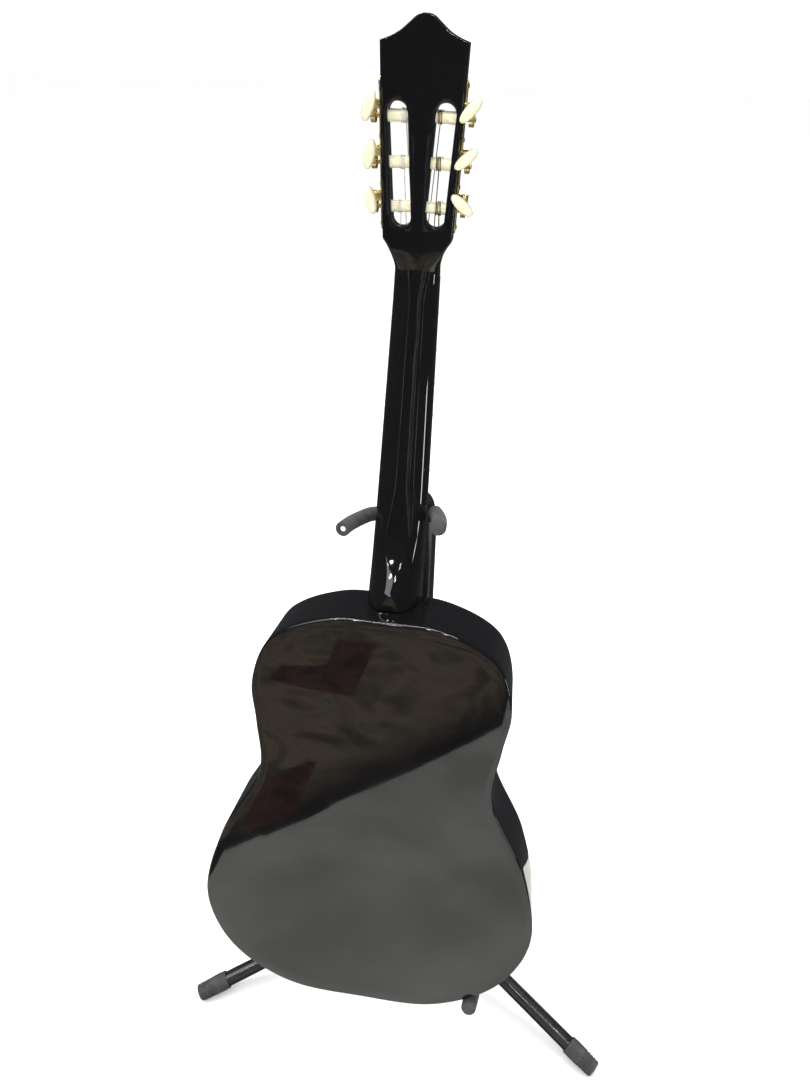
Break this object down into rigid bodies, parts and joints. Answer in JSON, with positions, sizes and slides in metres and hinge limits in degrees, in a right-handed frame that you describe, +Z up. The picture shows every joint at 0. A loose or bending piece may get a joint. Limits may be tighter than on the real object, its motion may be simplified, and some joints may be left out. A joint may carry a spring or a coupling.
{
  "type": "guitar on stand",
  "caption": "Small black classical guitar with slotted headstock, standing back outwards on a folding tripod guitar stand with padded cradle and neck yoke.",
  "frame": {"origin": "middle of the footprint on the floor, under the bounding box centre", "axes": "+Z up; -Y towards the viewer, who sees the guitar's back; +X to the viewer's right"},
  "size_m": [0.528, 0.5232, 1.124],
  "materials": {
    "lacquer": "high gloss black lacquer",
    "dark_wood": "dark oiled",
    "bare_wood": "bare",
    "bone": "smooth",
    "gold_metal": "polished, slightly worn",
    "pearl_plastic": "cream pearl",
    "nylon": "clear",
    "wound_string": "wound",
    "black_tube": "satin black",
    "black_plastic": "moulded",
    "foam": "closed-cell foam",
    "rubber": "moulded",
    "steel": "bright"
  },
  "bodies": {
    "stand_base": {"leg_hub": "black_plastic", "leg_pin_front_right": "steel", "leg_pin_front_left": "steel", "leg_pin_rear": "steel", "mast_lower_tube": "black_tube", "mast_end_plug": "black_plastic", "height_collar": "black_plastic", "cradle_bracket": "black_plastic", "cradle_arm_right": "black_tube", "cradle_foam_right": "foam", "cradle_cap_right": "rubber", "cradle_arm_left": "black_tube", "cradle_foam_left": "foam", "cradle_cap_left": "rubber"},
    "leg_front_right": {"leg_tube_front_right": "black_tube", "rubber_foot_front_right": "rubber"},
    "leg_front_left": {"leg_tube_front_left": "black_tube", "rubber_foot_front_left": "rubber"},
    "leg_rear": {"leg_tube_rear": "black_tube", "rubber_foot_rear": "rubber"},
    "upper_mast": {"mast_upper_tube": "black_tube"},
    "yoke": {"yoke_head": "black_plastic", "yoke_rod": "steel", "yoke_foam_right": "foam", "yoke_foam_left": "foam", "yoke_cap_right": "rubber"},
    "height_screw": {"height_knob": "black_plastic"},
    "cradle_screw": {"cradle_knob": "black_plastic"},
    "guitar": {"back_plate": "lacquer", "side_rim": "lacquer", "soundboard": "lacquer", "neck_block": "bare_wood", "tail_block": "bare_wood", "top_brace": "bare_wood", "back_brace": "bare_wood", "neck": "lacquer", "fretboard": "dark_wood", "nut": "bone", "bridge": "dark_wood", "saddle": "bone", "tuner_plate_right": "gold_metal", "tuner_plate_left": "gold_metal", "string_1": "nylon", "string_2": "nylon", "string_3": "nylon", "string_4": "wound_string", "string_5": "wound_string", "string_6": "wound_string"},
    "tuning_button_right_1": {"tuning_button_right_1": "pearl_plastic"},
    "string_roller_right_1": {"string_roller_right_1": "pearl_plastic"},
    "tuning_button_right_2": {"tuning_button_right_2": "pearl_plastic"},
    "string_roller_right_2": {"string_roller_right_2": "pearl_plastic"},
    "tuning_button_right_3": {"tuning_button_right_3": "pearl_plastic"},
    "string_roller_right_3": {"string_roller_right_3": "pearl_plastic"},
    "tuning_button_left_1": {"tuning_button_left_1": "pearl_plastic"},
    "string_roller_left_1": {"string_roller_left_1": "pearl_plastic"},
    "tuning_button_left_2": {"tuning_button_left_2": "pearl_plastic"},
    "string_roller_left_2": {"string_roller_left_2": "pearl_plastic"},
    "tuning_button_left_3": {"tuning_button_left_3": "pearl_plastic"},
    "string_roller_left_3": {"string_roller_left_3": "pearl_plastic"}
  },
  "joints": [
    {"name": "leg_fold_front_right", "type": "hinge", "parent": "stand_base", "child": "leg_front_right", "pos_m": [0.02598, -0.05505, 0.08936], "axis": [0.5, 0.866, 0], "range_deg": [0, 72]},
    {"name": "leg_fold_front_left", "type": "hinge", "parent": "stand_base", "child": "leg_front_left", "pos_m": [-0.02598, -0.05505, 0.08936], "axis": [0.5, -0.866, 0], "range_deg": [0, 72]},
    {"name": "leg_fold_rear", "type": "hinge", "parent": "stand_base", "child": "leg_rear", "pos_m": [0, -0.01005, 0.08936], "axis": [-1, 0, 0], "range_deg": [0, 72]},
    {"name": "mast_height", "type": "slide", "parent": "stand_base", "child": "upper_mast", "axis": [0, 0, 1], "range_m": [-0.03, 0]},
    {"name": "yoke_swivel", "type": "hinge", "parent": "upper_mast", "child": "yoke", "pos_m": [0, -0.04005, 0.697], "axis": [0, 0, 1], "range_deg": [-5, 1]},
    {"name": "height_screw_turn", "type": "hinge", "parent": "stand_base", "child": "height_screw", "pos_m": [0, -0.04005, 0.406], "axis": [0, 1, 0], "continuous": true},
    {"name": "cradle_screw_turn", "type": "hinge", "parent": "stand_base", "child": "cradle_screw", "pos_m": [0, -0.04005, 0.15653], "axis": [0.1045, 0.9945, 0], "continuous": true},
    {"name": "guitar_lift_off", "type": "slide", "parent": "stand_base", "child": "guitar", "axis": [0.0334, -0.976, 0.2154], "range_m": [0, 0.25]},
    {"name": "tuning_button_right_1_turn", "type": "hinge", "parent": "guitar", "child": "tuning_button_right_1", "pos_m": [0.01987, -0.02664, 0.98962], "axis": [0.0305, -0.999, -0.0342], "continuous": true},
    {"name": "string_roller_right_1_turn", "type": "hinge", "parent": "guitar", "child": "string_roller_right_1", "pos_m": [0.01267, -0.02658, 0.98145], "axis": [0.9984, 0.0321, -0.0467], "continuous": true},
    {"name": "tuning_button_right_2_turn", "type": "hinge", "parent": "guitar", "child": "tuning_button_right_2", "pos_m": [0.02154, -0.02778, 1.02458], "axis": [0.0305, -0.999, -0.0342], "continuous": true},
    {"name": "string_roller_right_2_turn", "type": "hinge", "parent": "guitar", "child": "string_roller_right_2", "pos_m": [0.01434, -0.02772, 1.01641], "axis": [0.9984, 0.0321, -0.0467], "continuous": true},
    {"name": "tuning_button_right_3_turn", "type": "hinge", "parent": "guitar", "child": "tuning_button_right_3", "pos_m": [0.02321, -0.02893, 1.05953], "axis": [0.0305, -0.999, -0.0342], "continuous": true},
    {"name": "string_roller_right_3_turn", "type": "hinge", "parent": "guitar", "child": "string_roller_right_3", "pos_m": [0.01602, -0.02887, 1.05137], "axis": [0.9984, 0.0321, -0.0467], "continuous": true},
    {"name": "tuning_button_left_1_turn", "type": "hinge", "parent": "guitar", "child": "tuning_button_left_1", "pos_m": [-0.05668, -0.02901, 0.99072], "axis": [0.0305, -0.999, -0.0342], "continuous": true},
    {"name": "string_roller_left_1_turn", "type": "hinge", "parent": "guitar", "child": "string_roller_left_1", "pos_m": [-0.04975, -0.02852, 0.98235], "axis": [-0.9994, -0.0299, -0.0178], "continuous": true},
    {"name": "tuning_button_left_2_turn", "type": "hinge", "parent": "guitar", "child": "tuning_button_left_2", "pos_m": [-0.05727, -0.03023, 1.02572], "axis": [0.0305, -0.999, -0.0342], "continuous": true},
    {"name": "string_roller_left_2_turn", "type": "hinge", "parent": "guitar", "child": "string_roller_left_2", "pos_m": [-0.05033, -0.02973, 1.01734], "axis": [-0.9994, -0.0299, -0.0178], "continuous": true},
    {"name": "tuning_button_left_3_turn", "type": "hinge", "parent": "guitar", "child": "tuning_button_left_3", "pos_m": [-0.05785, -0.03144, 1.06071], "axis": [0.0305, -0.999, -0.0342], "continuous": true},
    {"name": "string_roller_left_3_turn", "type": "hinge", "parent": "guitar", "child": "string_roller_left_3", "pos_m": [-0.05092, -0.03095, 1.05234], "axis": [-0.9994, -0.0299, -0.0178], "continuous": true}
  ],
  "couplings": [
    {"joint": "string_roller_right_1_turn", "follows": "tuning_button_right_1_turn", "ratio": 0.071429},
    {"joint": "string_roller_right_2_turn", "follows": "tuning_button_right_2_turn", "ratio": 0.071429},
    {"joint": "string_roller_right_3_turn", "follows": "tuning_button_right_3_turn", "ratio": 0.071429},
    {"joint": "string_roller_left_1_turn", "follows": "tuning_button_left_1_turn", "ratio": 0.071429},
    {"joint": "string_roller_left_2_turn", "follows": "tuning_button_left_2_turn", "ratio": 0.071429},
    {"joint": "string_roller_left_3_turn", "follows": "tuning_button_left_3_turn", "ratio": 0.071429}
  ]
}
